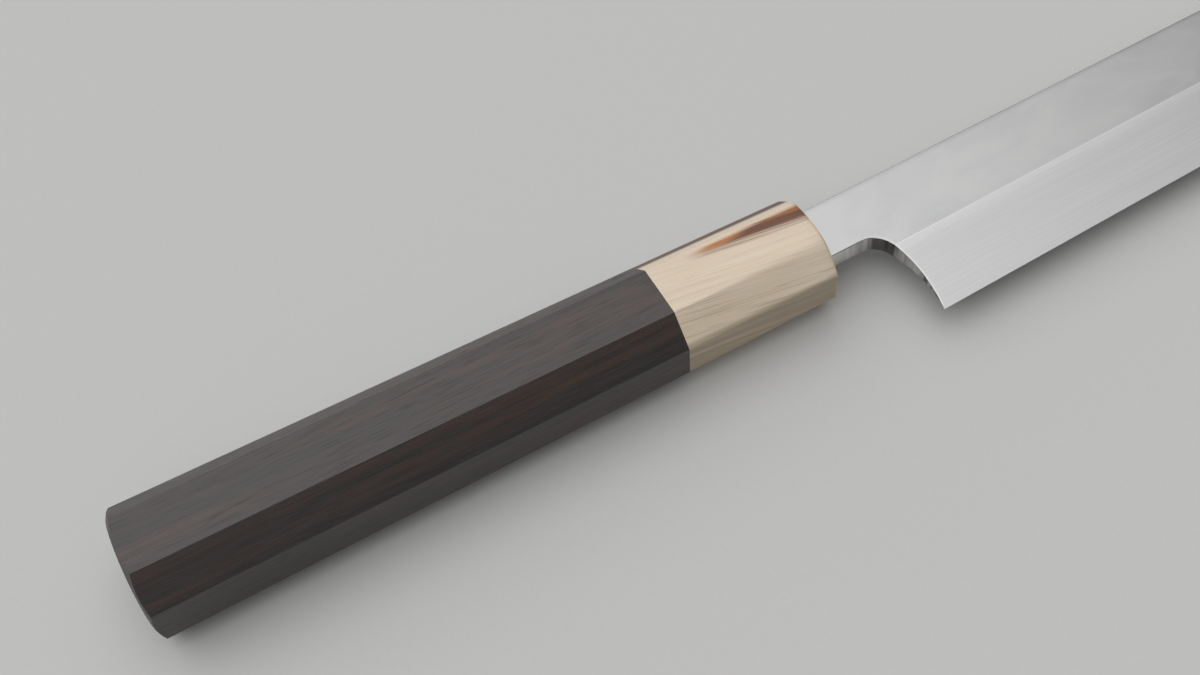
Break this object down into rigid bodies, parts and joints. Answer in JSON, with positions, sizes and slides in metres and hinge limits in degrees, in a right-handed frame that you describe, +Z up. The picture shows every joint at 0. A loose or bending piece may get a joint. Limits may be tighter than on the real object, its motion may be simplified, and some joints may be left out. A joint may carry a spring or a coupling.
{
  "type": "slicing knife",
  "caption": "Long single-bevel slicing knife with a hollow-ground back, a hidden tang and a tapered octagonal wooden handle behind a horn ferrule.",
  "frame": {"origin": "middle of the knife's footprint, on the surface that the handle's lower flat lies on", "axes": "+X along the handle from butt to tip, +Y from the cutting edge to the spine, +Z up, out of the bevelled face"},
  "size_m": [0.448, 0.041, 0.0226],
  "materials": {
    "steel": "polished flat and spine, fine lengthwise satin on the bevel",
    "horn": "polished blond horn with brown streaks",
    "ebony": "satin dark heartwood with fine lengthwise grain",
    "core_wood": "raw pale softwood",
    "resin": "set bedding resin"
  },
  "bodies": {
    "root": {"blade": "steel", "ferrule": "horn", "handle": "ebony", "dowel": "core_wood", "tang_bedding": "resin"}
  },
  "joints": []
}
